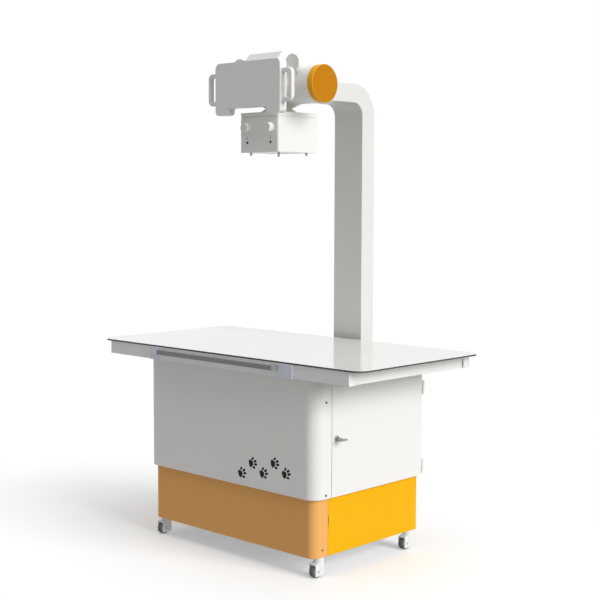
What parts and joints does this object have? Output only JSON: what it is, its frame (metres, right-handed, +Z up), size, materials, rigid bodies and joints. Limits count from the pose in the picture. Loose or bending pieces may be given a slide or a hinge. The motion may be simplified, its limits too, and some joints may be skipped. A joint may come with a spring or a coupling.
{
  "type": "veterinary x-ray table",
  "caption": "Wheeled x-ray table with a sliding tabletop, detector tray, goose-neck column, turning tube head and swivelling collimator.",
  "frame": {"origin": "on the floor under the centre of the machine's overall box", "axes": "+Z up, +X to the operator's right along the tabletop, the operator stands at -Y and the column is at +Y"},
  "size_m": [1.3, 0.7778, 1.771],
  "materials": {
    "white_paint": "satin powder coat",
    "grey_paint": "satin powder coat",
    "orange_paint": "satin powder coat",
    "skirt_paint": "satin powder coat",
    "tabletop_laminate": "glossy laminate with a dark core",
    "tray_plate": "anodised",
    "aluminium": "satin anodised",
    "steel": "zinc plated",
    "dark_plastic": "fine texture",
    "white_plastic": "satin moulded",
    "orange_plastic": "smooth moulded",
    "clear_window": "clear",
    "tube_glass": "clear",
    "caster_rubber": "matte"
  },
  "bodies": {
    "base": {"floor_pan": "steel", "corner_posts": "steel", "deck": "steel", "front_panel": "white_paint", "rear_panel": "white_paint", "left_panel": "white_paint", "door_hinges": "steel", "front_skirt": "skirt_paint", "rear_skirt": "orange_paint", "column": "grey_paint", "column_brackets": "steel", "power_unit": "dark_plastic", "tray_runners": "steel", "roller_brackets": "steel", "head_bearing": "steel", "caster_plates": "steel"},
    "door": {"door": "white_paint", "cam_lock": "steel"},
    "key": {"lock_key": "steel"},
    "table": {"tabletop": "tabletop_laminate", "front_rail": "aluminium", "rear_rail": "aluminium", "end_plates": "white_paint"},
    "tray": {"tray": "steel", "detector": "dark_plastic", "tray_front": "tray_plate", "tray_handle": "dark_plastic"},
    "head": {"head_saddle": "white_paint", "tube_housing": "white_paint", "left_end_cap": "orange_plastic", "right_end_cap": "orange_plastic", "xray_tube": "tube_glass", "shoulder_caps": "white_paint", "top_cover": "white_paint", "control_panel": "white_plastic", "left_handle": "white_plastic", "right_handle": "white_plastic", "neck": "white_paint"},
    "collimator": {"collimator_cover": "white_paint", "collimator_body": "white_paint", "collimator_window": "clear_window", "collimator_feet": "steel"},
    "left_knob": {"left_knob": "white_plastic"},
    "right_knob": {"right_knob": "white_plastic"},
    "roller_1": {"roller_1": "white_plastic"},
    "caster_1": {"fork_1": "white_plastic"},
    "wheel_1": {"hub_1": "white_plastic", "tyre_1": "caster_rubber"},
    "roller_2": {"roller_2": "white_plastic"},
    "caster_2": {"fork_2": "white_plastic"},
    "wheel_2": {"hub_2": "white_plastic", "tyre_2": "caster_rubber"},
    "roller_3": {"roller_3": "white_plastic"},
    "caster_3": {"fork_3": "white_plastic"},
    "wheel_3": {"hub_3": "white_plastic", "tyre_3": "caster_rubber"},
    "roller_4": {"roller_4": "white_plastic"},
    "caster_4": {"fork_4": "white_plastic"},
    "wheel_4": {"hub_4": "white_plastic", "tyre_4": "caster_rubber"}
  },
  "joints": [
    {"name": "table_float", "type": "slide", "parent": "base", "child": "table", "axis": [1, 0, 0], "range_m": [-0.1, 0.1]},
    {"name": "tray_slide", "type": "slide", "parent": "base", "child": "tray", "axis": [0, -1, 0], "range_m": [0, 0.4]},
    {"name": "door_swing", "type": "hinge", "parent": "base", "child": "door", "pos_m": [0.424, 0.2509, 0.3], "axis": [0, 0, 1], "range_deg": [0, 110]},
    {"name": "key_turn", "type": "hinge", "parent": "door", "child": "key", "pos_m": [0.424, -0.2106, 0.4637], "axis": [1, 0, 0], "range_deg": [0, 90]},
    {"name": "head_turn", "type": "hinge", "parent": "base", "child": "head", "pos_m": [0, 0.0434, 1.651], "axis": [0, 1, 0], "range_deg": [-90, 90]},
    {"name": "collimator_swivel", "type": "hinge", "parent": "head", "child": "collimator", "pos_m": [0, -0.0576, 1.562], "axis": [0, 0, 1], "range_deg": [-45, 45]},
    {"name": "left_knob_turn", "type": "hinge", "parent": "collimator", "child": "left_knob", "pos_m": [-0.058, -0.1576, 1.508], "axis": [0, 1, 0], "range_deg": [-120, 120]},
    {"name": "right_knob_turn", "type": "hinge", "parent": "collimator", "child": "right_knob", "pos_m": [0.058, -0.1576, 1.508], "axis": [0, 1, 0], "range_deg": [-120, 120]},
    {"name": "roller_1_roll", "type": "hinge", "parent": "base", "child": "roller_1", "pos_m": [-0.364, -0.3376, 0.6967], "axis": [0, 1, 0], "range_deg": [-310, 310]},
    {"name": "roller_2_roll", "type": "hinge", "parent": "base", "child": "roller_2", "pos_m": [0.364, -0.3376, 0.6967], "axis": [0, 1, 0], "range_deg": [-310, 310]},
    {"name": "roller_3_roll", "type": "hinge", "parent": "base", "child": "roller_3", "pos_m": [-0.364, 0.2694, 0.6967], "axis": [0, 1, 0], "range_deg": [-310, 310]},
    {"name": "roller_4_roll", "type": "hinge", "parent": "base", "child": "roller_4", "pos_m": [0.364, 0.2694, 0.6967], "axis": [0, 1, 0], "range_deg": [-310, 310]},
    {"name": "caster_1_swivel", "type": "hinge", "parent": "base", "child": "caster_1", "pos_m": [-0.391, -0.2616, 0.064], "axis": [0, 0, 1], "continuous": true},
    {"name": "wheel_1_roll", "type": "hinge", "parent": "caster_1", "child": "wheel_1", "pos_m": [-0.391, -0.2776, 0.022], "axis": [1, 0, 0], "continuous": true},
    {"name": "caster_2_swivel", "type": "hinge", "parent": "base", "child": "caster_2", "pos_m": [0.391, -0.2616, 0.064], "axis": [0, 0, 1], "continuous": true},
    {"name": "wheel_2_roll", "type": "hinge", "parent": "caster_2", "child": "wheel_2", "pos_m": [0.391, -0.2776, 0.022], "axis": [1, 0, 0], "continuous": true},
    {"name": "caster_3_swivel", "type": "hinge", "parent": "base", "child": "caster_3", "pos_m": [-0.391, 0.2084, 0.064], "axis": [0, 0, 1], "continuous": true},
    {"name": "wheel_3_roll", "type": "hinge", "parent": "caster_3", "child": "wheel_3", "pos_m": [-0.391, 0.1924, 0.022], "axis": [1, 0, 0], "continuous": true},
    {"name": "caster_4_swivel", "type": "hinge", "parent": "base", "child": "caster_4", "pos_m": [0.391, 0.2084, 0.064], "axis": [0, 0, 1], "continuous": true},
    {"name": "wheel_4_roll", "type": "hinge", "parent": "caster_4", "child": "wheel_4", "pos_m": [0.391, 0.1924, 0.022], "axis": [1, 0, 0], "continuous": true}
  ],
  "couplings": [
    {"joint": "roller_1_roll", "follows": "table_float", "rad_per_m": 52.632},
    {"joint": "roller_2_roll", "follows": "table_float", "rad_per_m": 52.632},
    {"joint": "roller_3_roll", "follows": "table_float", "rad_per_m": 52.632},
    {"joint": "roller_4_roll", "follows": "table_float", "rad_per_m": 52.632}
  ]
}
